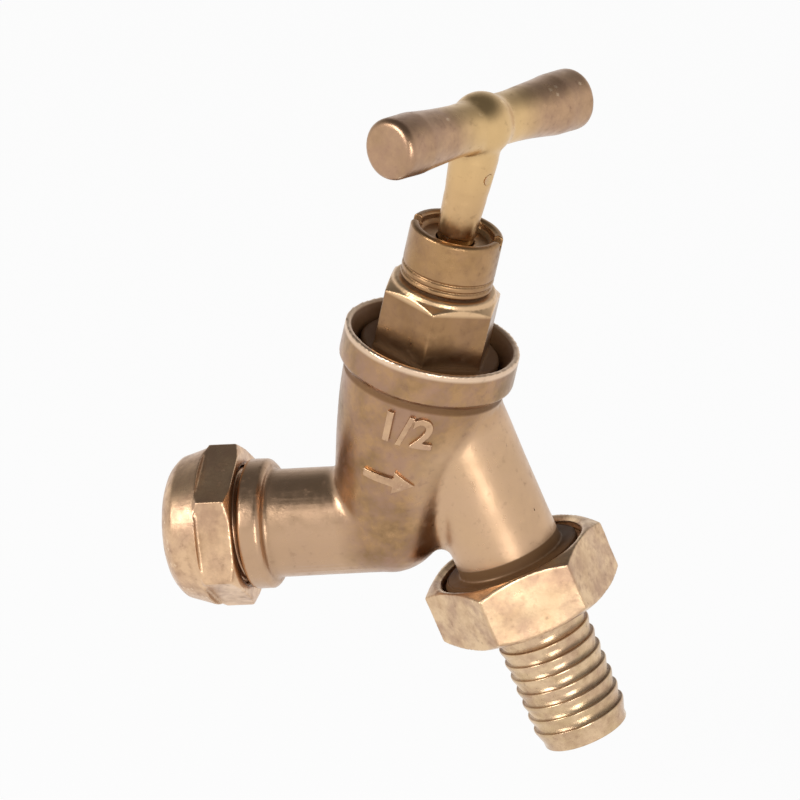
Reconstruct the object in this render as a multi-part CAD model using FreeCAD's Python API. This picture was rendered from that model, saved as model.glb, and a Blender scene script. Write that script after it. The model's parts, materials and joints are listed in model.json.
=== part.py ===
import FreeCAD, Part
import math
import os

# Garden tap with a union for a hose. All sizes in millimetres, angles in degrees.
# The origin is the mouth of the pipe socket, +X runs forward along the inlet, +Z is up.
# The headwork's frame starts at the centre of the collar's rim, and its +Z is the spindle's axis.
# The spout's frame starts where the spout's axis crosses the spindle's, and its +Z runs down the spout.
# The inlet's frame starts at the pipe socket's mouth, and its +Z runs out towards the pipe.

# Clearances, and small edges that many pieces share
running_clearance = 0.05
thread_clearance = 0.08
washer_fit = 0.05
pin_fit = 0.02
press_gap = 0.05
chamfer = 0.6
edge_break = 0.4
overshoot = 1.0

# Layout of the cast body
inlet_reach = 32.0
head_lean = 20.0
spout_forward = 15.0
rim_height = 36.0

# Pipe, olive and compression end
pipe_r = 7.5
pipe_clearance = 0.1
socket_depth = 9.0
water_r = 6.0
olive_wall = 1.05
olive_length = 4.6
olive_set = 0.7
olive_clearance = 0.05
inlet_thread_r = 10.4
inlet_thread_length = 6.6
inlet_collar_r = 11.5
inlet_collar_length = 4.4
inlet_collar_bevel = 0.8
inlet_tube_r = 9.6
inlet_tube_taper = 0.15
compression_gap = 0.6
compression_flats = 25.6
compression_turn = 38.7
compression_bevel = 0.7
compression_cone_depth = 1.3
nose_wall = 2.65
nose_length = 7.4
nose_front_r = 8.7
nose_shoulder_drop = 0.25
nose_shoulder_depth = 2.6
nose_belly_out = 0.62
nose_belly_down = 0.42

# Barrel and collar of the body
collar_r = 15.5
collar_height = 6.8
collar_bevel = 0.9
collar_step = 1.2
rim_width = 0.9
recess_depth = 5.5
recess_wall = 1.4
dish_width = 2.8
dish_belly = 0.36
barrel_bulge = 0.95
elbow_r = 9.6
elbow_start = 18.0
junction_fillet = 2.2

# Waterway through the body
washer_seat = 2.2
chamber_floor = 25.0
seat_rise = 1.5
seat_r = 5.6
seat_lip = 1.5
seat_wall = 3.0
spout_bore_r = 6.4
passage_pillar = 2.8
passage_cover = 1.0
thread_wall = 2.5

# Spout and its outlet thread
spout_r = 9.5
spout_start = 2.36
spout_clear = 3.85
outlet_thread_r = 13.2
outlet_thread_length = 4.7

# Bonnet
bonnet_washer_thick = 1.0
bonnet_washer_gap = 0.1
bonnet_spigot_length = 8.0
bonnet_flange_gap = 0.4
bonnet_flange_thick = 2.5
bonnet_flats = 19.0
bonnet_hex_length = 11.5
bonnet_turn = 3.0
bonnet_bevel = 0.6
bonnet_ledge_step = 0.3
bonnet_ledge_height = 1.1
bonnet_neck_length = 7.2
stuffing_depth = 6.0
stuffing_wall = 2.0

# Gland
gland_wall = 1.17
gland_gap = 0.25
gland_cover_gap = 0.2
gland_cover_thick = 1.0
gland_cup_depth = 2.0
gland_rim = 1.55
gland_nose_length = 1.2
gland_grooves = 2
gland_groove_start = 1.0
gland_groove_width = 0.55
gland_groove_depth = 0.45
gland_groove_pitch = 1.35
gland_slot_width = 2.4
gland_slot_depth = 1.7
packing_width = 1.7
packing_washer_thick = 0.8

# Spindle and its screw thread
spindle_r = 3.2
spindle_screw_r = 6.0
spindle_screw_top = 1.4
spindle_tip_chamfer = 0.8
back_seat_gap = 0.3
open_lift = 5.5
stem_showing = 1.0
spigot_r = 2.2
spigot_past_bar = 1.5

# Jumper, the loose valve that the spindle presses on its seat
jumper_gap = 1.3
jumper_plate_thick = 1.7
jumper_stem_r = 3.1
jumper_stem_length = 9.6
jumper_tail_r = 1.95
jumper_washer_thick = 3.2
jumper_nut_flats = 7.0
jumper_nut_thick = 2.6
jumper_tail_proud = 0.9

# Crutch handle
handle_turn = 62.0
shank_length = 20.9
shank_top_r = 4.3
shank_low_r = 3.35
hub_r = 5.7
bar_length = 50.5
bar_end_r = 5.4
bar_neck_r = 4.6
bar_neck_start = 7.6
bar_waist = 0.12
bar_end_length = 6.5
bar_end_round = 1.3
pin_r = 1.0
pin_above_foot = 12.0

# Hose union
union_flats = 29.2
union_length = 11.3
union_lip = 2.2
union_turn = 9.5
union_bevel = 2.3
union_bevel_rise = 1.3
union_hole_clearance = 0.3
union_washer_thick = 1.7
tail_flange_step = 1.0
tail_flange_thick = 2.2
tail_bore_r = 5.6
tail_neck_r = 7.4
tail_neck_length = 1.6
tail_crest_r = 8.5
tail_crest_land = 0.5
barb_depth = 0.75
barb_pitch = 2.7
barb_count = 8
tail_end_length = 1.2

# Places of the three frames
lean = math.radians(head_lean)
forward = math.radians(spout_forward)
head_axis = FreeCAD.Vector(math.sin(lean), 0, math.cos(lean))
spout_axis = FreeCAD.Vector(math.sin(forward), 0, -math.cos(forward))
elbow_centre = FreeCAD.Vector(inlet_reach, 0, 0)
rim_centre = elbow_centre + head_axis * rim_height
# The spout's front line leaves the barrel at spout_start under the collar.
spout_lean = lean + forward
barrel_top_r = collar_r - collar_step
front_run = (barrel_top_r - spout_r * math.cos(spout_lean)) / math.tan(spout_lean)
spout_drop = collar_height + spout_start + spout_r * math.sin(spout_lean) - front_run
spout_root = rim_centre - head_axis * spout_drop
across = FreeCAD.Vector(0, 1, 0)
head_place = FreeCAD.Placement(rim_centre, FreeCAD.Rotation(across, head_lean))
spout_place = FreeCAD.Placement(spout_root, FreeCAD.Rotation(across, 180.0 - spout_forward))
inlet_place = FreeCAD.Placement(FreeCAD.Vector(0, 0, 0), FreeCAD.Rotation(across, -90.0))
straight = FreeCAD.Vector(0, 0, 1)

# Radii and levels at the inlet
socket_r = pipe_r + pipe_clearance
inlet_face = olive_wall
collar_back = inlet_thread_length + inlet_collar_length
olive_rear = inlet_face - olive_set
olive_front = olive_rear + olive_length
olive_low_r = socket_r + olive_rear - olive_clearance
compression_front = olive_front + nose_wall
compression_back = inlet_thread_length - compression_gap
hex_front = compression_front - nose_length

# Radii and levels in the headwork, from the rim
recess_floor_r = collar_r - dish_width
chamber_r = recess_floor_r - washer_seat
bonnet_flange_r = recess_floor_r - bonnet_flange_gap
spigot_outer_r = chamber_r - thread_clearance
flange_base = -recess_depth + bonnet_washer_thick
flange_top = flange_base + bonnet_flange_thick
spigot_foot = flange_base - bonnet_spigot_length
hex_top = flange_top + bonnet_hex_length
ledge_r = bonnet_flats / 2 - bonnet_ledge_step
ledge_top = hex_top + bonnet_ledge_height
neck_top = ledge_top + bonnet_neck_length
stuffing_floor = neck_top - stuffing_depth
stuffing_r = spindle_r + packing_width
neck_r = stuffing_r + stuffing_wall
gland_nut_r = neck_r + thread_clearance + gland_wall
gland_cup_r = gland_nut_r - gland_rim
gland_cover = neck_top + gland_cover_gap
gland_floor = gland_cover + gland_cover_thick
gland_top = gland_floor + gland_cup_depth
gland_nose_foot = gland_cover - gland_nose_length
packing_floor = stuffing_floor + packing_washer_thick

# Levels of the valve, from the rim
seat_top = -chamber_floor + seat_rise
plate_r = chamber_r - jumper_gap
plate_bottom = seat_top + jumper_washer_thick
plate_top = plate_bottom + jumper_plate_thick
screw_foot = plate_top + press_gap
screw_bore_top = spindle_screw_top + open_lift + back_seat_gap

# Levels of the handle, from the rim
shank_foot = gland_floor + stem_showing
handle_height = shank_foot + shank_length
spigot_top = handle_height + spigot_past_bar
pin_height = shank_foot + pin_above_foot

# Levels along the spout
elbow_along = (elbow_centre - spout_root).dot(spout_axis)
thread_start = elbow_along + elbow_r + spout_clear
outlet_face = thread_start + outlet_thread_length
tail_flange_r = outlet_thread_r - tail_flange_step
tail_flange_back = outlet_face + union_washer_thick
flange_seat = tail_flange_back + tail_flange_thick
union_foot = flange_seat + union_lip
union_top = union_foot - union_length
tail_root_r = tail_crest_r - barb_depth
first_barb = union_foot + tail_neck_length
tail_end = first_barb + barb_pitch * barb_count + tail_end_length


def point(r, z):
    return FreeCAD.Vector(r, 0, z)


def line(a, b):
    return Part.LineSegment(point(*a), point(*b)).toShape()


def arc(a, b, c):
    return Part.Arc(point(*a), point(*b), point(*c)).toShape()


def turned(edges):
    # A solid of revolution about Z from the closed outline of its half section.
    face = Part.Face(Part.Wire(edges))
    return Part.makeSolid(face.revolve(FreeCAD.Vector(0, 0, 0), straight, 360).Shells[0])


def turned_polygon(corners):
    closed = corners + corners[:1]
    return turned([line(a, b) for a, b in zip(closed, closed[1:])])


def rod(r, z_low, z_high):
    return Part.makeCylinder(r, z_high - z_low, FreeCAD.Vector(0, 0, z_low))


def ring(r_in, r_out, z_low, z_high):
    return turned_polygon([(r_in, z_low), (r_out, z_low), (r_out, z_high), (r_in, z_high)])


def corner_radius(flats):
    return flats / math.sqrt(3)


def hexagon(flats, z_low, z_high, turn):
    # A hexagonal prism with one flat's normal at the given turn.
    corners = []
    for k in range(7):
        angle = math.radians(turn + 30 + 60 * k)
        reach = corner_radius(flats)
        corners.append(FreeCAD.Vector(reach * math.cos(angle), reach * math.sin(angle), z_low))
    return Part.Face(Part.makePolygon(corners)).extrude(FreeCAD.Vector(0, 0, z_high - z_low))


def placed(shape, place):
    return shape.transformed(place.toMatrix(), True)


def barrel_outside():
    # The collar, the barrel that narrows in a long arc, and the round elbow under it.
    join = math.radians(elbow_start)
    middle = math.radians((elbow_start + 90.0) / 2.0)
    under = (barrel_top_r, -collar_height)
    low = (elbow_r * math.cos(join), -rim_height - elbow_r * math.sin(join))
    belly = (elbow_r * math.cos(middle), -rim_height - elbow_r * math.sin(middle))
    bulge = ((under[0] + low[0]) / 2 + barrel_bulge, (under[1] + low[1]) / 2)
    foot = (0, -rim_height - elbow_r)
    return turned([
        line((0, 0), (collar_r, 0)),
        line((collar_r, 0), (collar_r, -collar_height + collar_bevel)),
        line((collar_r, -collar_height + collar_bevel), (collar_r - collar_bevel, -collar_height)),
        line((collar_r - collar_bevel, -collar_height), under),
        arc(under, bulge, low),
        arc(low, belly, foot),
        line(foot, (0, 0)),
    ])


def inlet_outside():
    # The tube from the barrel to the inlet's collar, a little wider towards the collar.
    near_r = inlet_tube_r - inlet_tube_taper
    tube = turned_polygon([
        (0, -inlet_reach), (near_r, -inlet_reach), (inlet_tube_r, -collar_back), (0, -collar_back),
    ])
    return placed(tube, inlet_place)


def recess():
    # The dished recess inside the rim, where the bonnet sits down.
    mouth_r = collar_r - rim_width
    lip = (recess_floor_r, -recess_depth + recess_wall)
    dish = (recess_floor_r + (mouth_r - recess_floor_r) * dish_belly, lip[1] / 2)
    return turned([
        line((0, overshoot), (mouth_r, overshoot)),
        line((mouth_r, overshoot), (mouth_r, 0)),
        arc((mouth_r, 0), dish, lip),
        line(lip, (recess_floor_r, -recess_depth)),
        line((recess_floor_r, -recess_depth), (0, -recess_depth)),
        line((0, -recess_depth), (0, overshoot)),
    ])


def waterway():
    # Pipe socket, bore to the elbow, riser, orifice in the seat, chamber above it and passage to the spout.
    cone_out = inlet_face + overshoot
    mouth = turned_polygon([
        (0, cone_out), (socket_r + cone_out, cone_out), (socket_r, 0), (socket_r, -socket_depth),
        (water_r, -socket_depth), (water_r, -inlet_reach), (0, -inlet_reach),
    ])
    elbow = Part.makeSphere(water_r, FreeCAD.Vector(0, 0, -rim_height))
    riser = rod(water_r, -rim_height, -chamber_floor - seat_wall)
    orifice = rod(seat_r, -chamber_floor - seat_wall - overshoot, seat_top + overshoot)
    seat = rod(seat_r + seat_lip, -chamber_floor - overshoot, seat_top)
    chamber = rod(chamber_r, -chamber_floor, -recess_depth + overshoot).cut(seat)
    pillar = rod(chamber_r - passage_pillar, -rim_height - elbow_r, -chamber_floor)
    cover = rod(chamber_r + thread_wall, spigot_foot - passage_cover, overshoot)
    passage = placed(rod(spout_bore_r, 0, outlet_face + overshoot), spout_place)
    passage = passage.cut(placed(pillar, head_place)).cut(placed(cover, head_place))
    upright = [elbow, riser, orifice, chamber]
    return [placed(mouth, inlet_place), passage] + [placed(piece, head_place) for piece in upright]


def tap_body():
    above_barrel = placed(rod(2 * collar_r, -collar_height, collar_r), head_place)
    spout = placed(rod(spout_r, 0, outlet_face), spout_place).cut(above_barrel)
    outside = placed(barrel_outside(), head_place).fuse([inlet_outside(), spout]).removeSplitter()
    junctions = [edge for edge in outside.Edges if isinstance(edge.Curve, Part.BSplineCurve)]
    outside = outside.makeFillet(junction_fillet, junctions)
    back = -collar_back
    boss = turned_polygon([
        (0, inlet_face), (inlet_thread_r - chamfer, inlet_face), (inlet_thread_r, inlet_face - chamfer),
        (inlet_thread_r, -inlet_thread_length), (inlet_collar_r - edge_break, -inlet_thread_length),
        (inlet_collar_r, -inlet_thread_length - edge_break), (inlet_collar_r, back + inlet_collar_bevel),
        (inlet_collar_r - inlet_collar_bevel, back), (inlet_tube_r, back), (0, back - inlet_collar_bevel),
    ])
    outlet = turned_polygon([
        (0, thread_start), (outlet_thread_r - chamfer, thread_start),
        (outlet_thread_r, thread_start + chamfer), (outlet_thread_r, outlet_face - chamfer),
        (outlet_thread_r - chamfer, outlet_face), (0, outlet_face),
    ])
    solid = outside.fuse([placed(boss, inlet_place), placed(outlet, spout_place)])
    return solid.cut([placed(recess(), head_place)] + waterway()).removeSplitter()


def bonnet_washer():
    hole = spigot_outer_r + bonnet_washer_gap
    return placed(ring(hole, bonnet_flange_r - bonnet_washer_gap, -recess_depth, flange_base), head_place)


def bonnet():
    # Flanged and threaded into the body, hexagonal outside, with the stuffing box on top.
    screw_r = spindle_screw_r + running_clearance
    stem_r = spindle_r + running_clearance
    skin = turned_polygon([
        (screw_r, spigot_foot), (spigot_outer_r - chamfer, spigot_foot),
        (spigot_outer_r, spigot_foot + chamfer), (spigot_outer_r, flange_base),
        (bonnet_flange_r, flange_base), (bonnet_flange_r, flange_top - edge_break),
        (bonnet_flange_r - edge_break, flange_top), (bonnet_flats, flange_top), (bonnet_flats, hex_top),
        (ledge_r, hex_top), (ledge_r, ledge_top - edge_break), (ledge_r - edge_break, ledge_top),
        (neck_r, ledge_top), (neck_r, neck_top - edge_break), (neck_r - edge_break, neck_top),
        (stuffing_r, neck_top), (stuffing_r, stuffing_floor), (stem_r, stuffing_floor),
        (stem_r, screw_bore_top), (screw_r, screw_bore_top),
    ])
    corner_r = corner_radius(bonnet_flats)
    flats_r = bonnet_flats / 2
    top_bevel = turned_polygon([
        (0, flange_top), (corner_r, flange_top), (corner_r, hex_top - (corner_r - flats_r) * bonnet_bevel),
        (flats_r, hex_top), (0, hex_top),
    ])
    hex_part = hexagon(bonnet_flats, flange_top, hex_top, bonnet_turn).common(top_bevel)
    below = rod(bonnet_flats, spigot_foot, flange_top)
    above = rod(ledge_r, hex_top, neck_top)
    return placed(skin.common(below.fuse([hex_part, above])).removeSplitter(), head_place)


def packing_washer():
    hole = spindle_r + running_clearance
    return placed(ring(hole, stuffing_r - washer_fit, stuffing_floor, packing_floor), head_place)


def packing_ring(low, high):
    # A ring of packing, pressed square between the stem and the stuffing box.
    return placed(ring(spindle_r + running_clearance, stuffing_r - washer_fit, low, high), head_place)


def gland_packing_lower():
    return packing_ring(packing_floor, (packing_floor + gland_nose_foot) / 2)


def gland_packing_upper():
    return packing_ring((packing_floor + gland_nose_foot) / 2, gland_nose_foot)


def gland_nut():
    # A cup screwed over the bonnet's neck, with a nose that presses the packing and a slotted rim.
    bore = neck_r + thread_clearance
    foot = ledge_top + gland_gap
    hole = spindle_r + 4 * running_clearance
    nose_r = stuffing_r - 2 * washer_fit
    outline = [(bore, foot), (gland_nut_r - edge_break, foot), (gland_nut_r, foot + edge_break)]
    for k in range(gland_grooves):
        z = foot + gland_groove_start + k * gland_groove_pitch
        middle = z + gland_groove_width / 2
        groove_r = gland_nut_r - gland_groove_depth
        outline += [(gland_nut_r, z), (groove_r, middle), (gland_nut_r, z + gland_groove_width)]
    outline += [
        (gland_nut_r, gland_top - edge_break), (gland_nut_r - edge_break, gland_top),
        (gland_cup_r + edge_break, gland_top), (gland_cup_r, gland_top - edge_break),
        (gland_cup_r, gland_floor + chamfer), (gland_cup_r - chamfer, gland_floor), (hole, gland_floor),
        (hole, gland_nose_foot), (nose_r, gland_nose_foot), (nose_r, gland_cover), (bore, gland_cover),
    ]
    cup = turned_polygon(outline)
    corner = FreeCAD.Vector(-2 * gland_nut_r, -gland_slot_width / 2, gland_top - gland_slot_depth)
    slot = Part.makeBox(4 * gland_nut_r, gland_slot_width, gland_slot_depth + overshoot, corner)
    return placed(cup.cut(slot), head_place)


def spindle():
    stem_bore_r = jumper_stem_r + running_clearance * 2
    bore_shoulder = plate_top + jumper_stem_length + edge_break
    bore_top = bore_shoulder + stem_bore_r / 2
    return placed(turned_polygon([
        (stem_bore_r, screw_foot), (spindle_screw_r - spindle_tip_chamfer, screw_foot),
        (spindle_screw_r, screw_foot + spindle_tip_chamfer), (spindle_screw_r, spindle_screw_top - chamfer),
        (spindle_screw_r - chamfer, spindle_screw_top), (spindle_r, spindle_screw_top),
        (spindle_r, shank_foot), (spigot_r, shank_foot), (spigot_r, spigot_top), (0, spigot_top),
        (0, bore_top), (stem_bore_r, bore_shoulder),
    ]).cut(cross_pin(pin_r, shank_radius_at(pin_height))), head_place)


def shank_radius_at(z):
    share = (z - shank_foot) / (shank_length - hub_r)
    return shank_low_r + (shank_top_r - shank_low_r) * share


def cross_pin(r, reach):
    # A pin through the shank, square to the bar.
    angle = math.radians(handle_turn + 90)
    way = FreeCAD.Vector(math.cos(angle), math.sin(angle), 0)
    return Part.makeCylinder(r, 2 * reach, way * -reach + straight * pin_height, way)


def handle_bar():
    # The bar, turned about its own axis: necked beside the hub, swelling to its round ends.
    half = bar_length / 2
    knob = half - bar_end_length
    cap_r = bar_end_r - bar_end_round
    corner = (cap_r + bar_end_round * math.sqrt(0.5), half - bar_end_round * (1 - math.sqrt(0.5)))
    middle = ((bar_end_r + bar_neck_r) / 2 - bar_waist, (knob + bar_neck_start) / 2)
    one = turned([
        line((bar_neck_r, 0), (bar_neck_r, bar_neck_start)),
        arc((bar_neck_r, bar_neck_start), middle, (bar_end_r, knob)),
        line((bar_end_r, knob), (bar_end_r, half - bar_end_round)),
        arc((bar_end_r, half - bar_end_round), corner, (cap_r, half)),
        line((cap_r, half), (0, half)),
        line((0, half), (0, 0)),
        line((0, 0), (bar_neck_r, 0)),
    ])
    other = one.mirror(FreeCAD.Vector(0, 0, 0), straight)
    lay = FreeCAD.Placement(straight * handle_height, FreeCAD.Rotation(across, 90))
    return placed(one.fuse(other).removeSplitter(), lay)


def crutch_handle():
    # Bar, round hub and tapering shank in one casting, bored for the spindle's spigot and its pin.
    hub_foot = handle_height - hub_r
    foot_edge = edge_break / 2
    shank = turned([
        line((0, shank_foot), (shank_low_r - foot_edge, shank_foot)),
        line((shank_low_r - foot_edge, shank_foot), (shank_low_r, shank_foot + foot_edge)),
        line((shank_low_r, shank_foot + foot_edge), (shank_top_r, hub_foot)),
        line((shank_top_r, hub_foot), (shank_top_r, handle_height)),
        line((shank_top_r, handle_height), (0, handle_height)),
        line((0, handle_height), (0, shank_foot)),
    ])
    hub = Part.makeSphere(hub_r, straight * handle_height)
    casting = handle_bar().fuse([hub, shank]).removeSplitter()
    turn = FreeCAD.Placement(FreeCAD.Vector(0, 0, 0), FreeCAD.Rotation(straight, handle_turn))
    casting = placed(casting, turn)
    socket = rod(spigot_r + pin_fit, shank_foot - overshoot, spigot_top + edge_break)
    return placed(casting.cut([socket, cross_pin(pin_r, 2 * shank_top_r)]), head_place)


def handle_pin():
    return placed(cross_pin(pin_r - pin_fit, shank_radius_at(pin_height) - press_gap), head_place)


def jumper():
    # Plate, guide stem up into the spindle and threaded tail down through the washer.
    tail_foot = seat_top - jumper_nut_thick - jumper_tail_proud
    stem_top = plate_top + jumper_stem_length
    return placed(turned_polygon([
        (0, tail_foot), (jumper_tail_r - edge_break, tail_foot), (jumper_tail_r, tail_foot + edge_break),
        (jumper_tail_r, plate_bottom), (plate_r, plate_bottom), (plate_r, plate_top - edge_break),
        (plate_r - edge_break, plate_top), (jumper_stem_r, plate_top),
        (jumper_stem_r, stem_top - edge_break),
        (jumper_stem_r - edge_break, stem_top), (0, stem_top),
    ]), head_place)


def jumper_washer():
    hole = jumper_tail_r + washer_fit
    return placed(turned_polygon([
        (hole, seat_top), (plate_r - edge_break, seat_top), (plate_r, seat_top + edge_break),
        (plate_r, plate_bottom), (hole, plate_bottom),
    ]), head_place)


def jumper_nut():
    foot = seat_top - jumper_nut_thick
    hole = rod(jumper_tail_r + pin_fit, foot - overshoot, seat_top + overshoot)
    return placed(hexagon(jumper_nut_flats, foot, seat_top, 0).cut(hole), head_place)


def union_nut():
    # A hexagon whose corners are turned back at both ends, bored for the outlet thread and the tail.
    corner_r = corner_radius(union_flats)
    mask = turned_polygon([
        (0, union_top), (corner_r - union_bevel, union_top), (corner_r, union_top + union_bevel_rise),
        (corner_r, union_foot - union_bevel_rise), (corner_r - union_bevel, union_foot), (0, union_foot),
    ])
    bore = outlet_thread_r + thread_clearance
    hole = tail_crest_r + union_hole_clearance
    entry = chamfer + overshoot
    inside = turned_polygon([
        (0, union_top - overshoot), (bore + entry, union_top - overshoot), (bore, union_top + chamfer),
        (bore, flange_seat), (hole, flange_seat), (hole, union_foot + overshoot),
        (0, union_foot + overshoot),
    ])
    blank = hexagon(union_flats, union_top, union_foot, union_turn).common(mask)
    return placed(blank.cut(inside), spout_place)


def union_washer():
    return placed(ring(spout_bore_r, tail_flange_r, outlet_face, tail_flange_back), spout_place)


def hose_tail():
    # Flange held by the union nut, short neck, and barbs that rise to crests facing the nut.
    outline = [
        (tail_bore_r, tail_flange_back), (tail_flange_r, tail_flange_back), (tail_flange_r, flange_seat),
        (tail_neck_r, flange_seat), (tail_neck_r, first_barb),
    ]
    for k in range(barb_count):
        z = first_barb + k * barb_pitch
        outline += [(tail_crest_r, z), (tail_crest_r, z + tail_crest_land), (tail_root_r, z + barb_pitch)]
    outline += [
        (tail_root_r, tail_end - chamfer), (tail_root_r - chamfer, tail_end),
        (tail_bore_r + edge_break, tail_end), (tail_bore_r, tail_end - edge_break),
    ]
    return placed(turned_polygon(outline), spout_place)


def olive():
    # A ring with a cone at each end, pinched between the body's mouth and the nut.
    crest = socket_r + olive_wall
    ramp = crest - olive_low_r
    return placed(turned_polygon([
        (socket_r, olive_rear), (olive_low_r, olive_rear), (crest, olive_rear + ramp),
        (crest, olive_front - ramp),
        (olive_low_r, olive_front), (socket_r, olive_front),
    ]), inlet_place)


def compression_nut():
    # Hexagon towards the body, round domed nose towards the pipe, cone inside for the olive.
    corner_r = corner_radius(compression_flats)
    flats_r = compression_flats / 2
    bevel_r = corner_r - compression_bevel
    shoulder_r = flats_r - nose_shoulder_drop
    shoulder = (shoulder_r, compression_front - nose_shoulder_depth)
    nose_mid = (
        nose_front_r + (shoulder_r - nose_front_r) * nose_belly_out,
        compression_front - nose_shoulder_depth * nose_belly_down,
    )
    nose = turned([
        line((0, hex_front), (bevel_r, hex_front)),
        line((bevel_r, hex_front), shoulder),
        arc(shoulder, nose_mid, (nose_front_r, compression_front)),
        line((nose_front_r, compression_front), (0, compression_front)),
        line((0, compression_front), (0, hex_front)),
    ])
    bevel = turned_polygon([
        (0, -compression_back), (flats_r + edge_break, -compression_back),
        (corner_r, -compression_back + inlet_collar_bevel),
        (corner_r, hex_front - edge_break), (bevel_r, hex_front), (0, hex_front),
    ])
    prism = hexagon(compression_flats, -compression_back, hex_front, compression_turn).common(bevel)
    bore = inlet_thread_r + thread_clearance
    entry = chamfer + overshoot
    cone_r = olive_low_r + compression_cone_depth
    cone_start = olive_front - compression_cone_depth + olive_clearance
    cone_end = cone_start + cone_r - socket_r
    inside = turned_polygon([
        (0, -compression_back - overshoot), (bore + entry, -compression_back - overshoot),
        (bore, -compression_back + chamfer), (bore, cone_start), (cone_r, cone_start), (socket_r, cone_end),
        (socket_r, compression_front + overshoot), (0, compression_front + overshoot),
    ])
    return placed(prism.fuse(nose).cut(inside).removeSplitter(), inlet_place)


builders = [
    tap_body, bonnet, bonnet_washer, spindle, packing_washer, gland_packing_lower, gland_packing_upper,
    gland_nut, crutch_handle, handle_pin, jumper, jumper_washer, jumper_nut, union_nut, union_washer,
    hose_tail, compression_nut, olive,
]

os.makedirs("parts", exist_ok=True)
for build in builders:
    solid = build()
    solid.exportStep(os.path.join("parts", build.__name__ + ".step"))
    print(build.__name__, solid.ShapeType, len(solid.Solids), solid.isValid(), round(solid.Volume, 1))
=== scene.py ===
"""Garden tap with a hose union: the finish of every surface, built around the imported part.

Sizes of the pieces are in millimetres along the tap's own axes, and the meshes are made in metres.
"""

import json
import logging
import math
from dataclasses import dataclass, field
from enum import Enum
from typing import Any, Callable

import bmesh
import bpy
from mathutils import Matrix, Vector, noise


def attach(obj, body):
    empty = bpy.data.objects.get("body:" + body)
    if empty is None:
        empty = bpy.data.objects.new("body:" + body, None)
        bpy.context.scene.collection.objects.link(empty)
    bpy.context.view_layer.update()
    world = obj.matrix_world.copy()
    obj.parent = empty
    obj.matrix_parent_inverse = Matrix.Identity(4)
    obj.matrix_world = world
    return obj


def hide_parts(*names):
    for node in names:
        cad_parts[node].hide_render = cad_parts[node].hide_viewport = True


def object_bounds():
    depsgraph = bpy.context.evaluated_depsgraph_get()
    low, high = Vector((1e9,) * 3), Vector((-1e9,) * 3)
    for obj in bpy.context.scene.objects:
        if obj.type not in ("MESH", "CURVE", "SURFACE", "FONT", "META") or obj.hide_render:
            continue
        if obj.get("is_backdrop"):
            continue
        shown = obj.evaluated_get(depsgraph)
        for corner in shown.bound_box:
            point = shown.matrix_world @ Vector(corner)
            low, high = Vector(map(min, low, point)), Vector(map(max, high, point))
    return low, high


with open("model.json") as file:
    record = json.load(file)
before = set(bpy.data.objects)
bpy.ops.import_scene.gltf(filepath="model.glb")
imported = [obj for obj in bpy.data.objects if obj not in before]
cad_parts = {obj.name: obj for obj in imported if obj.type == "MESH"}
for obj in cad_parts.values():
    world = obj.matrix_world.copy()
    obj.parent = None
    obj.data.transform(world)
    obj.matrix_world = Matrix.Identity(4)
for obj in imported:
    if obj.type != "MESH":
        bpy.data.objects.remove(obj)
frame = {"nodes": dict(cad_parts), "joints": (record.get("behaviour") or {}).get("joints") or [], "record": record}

log = logging.getLogger("garden_tap")

MM = 0.001
DOUBLE_GAP = 1e-6
JOIN_GAP = 2e-6
WHITE = (1.0, 1.0, 1.0, 1.0)
Colour = tuple[float, float, float]
Corner = tuple[float, float, float]
Pair = tuple[float, float]
Outline = list[Pair]
Piece = bpy.types.Object
Mesh = bpy.types.Mesh
Socket = bpy.types.NodeSocket
Material = bpy.types.Material
Inputs = dict[str | int, Any] | None
Softness = Callable[[Vector], float]


def maths(operation: str, value_last: bool = False) -> Callable[..., "Value"]:
    """Make the method of Value that adds one Math node.

    Args:
        operation: the node's operation.
        value_last: put the value after the other term, as in 1 - value.

    Returns:
        The method.
    """
    def method(self: "Value", *others: Any) -> "Value":
        """The operation on the value and the others."""
        terms = (*others, self) if value_last else (self, *others)
        return self.nodes.value("ShaderNodeMath", dict(enumerate(terms)), operation=operation)
    return method


class Value:
    """A number in a node tree, so that maths between nodes reads as plain Python."""

    __add__, __radd__ = maths("ADD"), maths("ADD", value_last=True)
    __sub__, __rsub__ = maths("SUBTRACT"), maths("SUBTRACT", value_last=True)
    __mul__, __rmul__ = maths("MULTIPLY"), maths("MULTIPLY", value_last=True)
    __truediv__, __gt__, least = maths("DIVIDE"), maths("GREATER_THAN"), maths("MINIMUM")
    sine, cosine, folded = maths("SINE"), maths("COSINE"), maths("PINGPONG")

    def __init__(self, nodes: "Nodes", socket: Socket) -> None:
        """Wrap the output socket that holds the number, with the tree that it is in."""
        self.nodes = nodes
        self.socket = socket

    def zigzag(self) -> "Value":
        """A wave of period 1 that runs straight from 0 to 1 and back."""
        return self.folded(0.5) * 2.0

    def ranged(self, low: float, high: float, to_low: float = 0.0, to_high: float = 1.0) -> "Value":
        """The value mapped from one range to another and held inside it.

        Args:
            low: the value that becomes to_low.
            high: the value that becomes to_high.
            to_low: the result at and below low.
            to_high: the result at and above high.

        Returns:
            The mapped value.
        """
        return self.nodes.value("ShaderNodeMapRange", {
            "Value": self, "From Min": low, "From Max": high, "To Min": to_low, "To Max": to_high},
            "Result", clamp=True)

    def clamped(self) -> "Value":
        """The value held between 0 and 1."""
        return self.ranged(0.0, 1.0)


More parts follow.
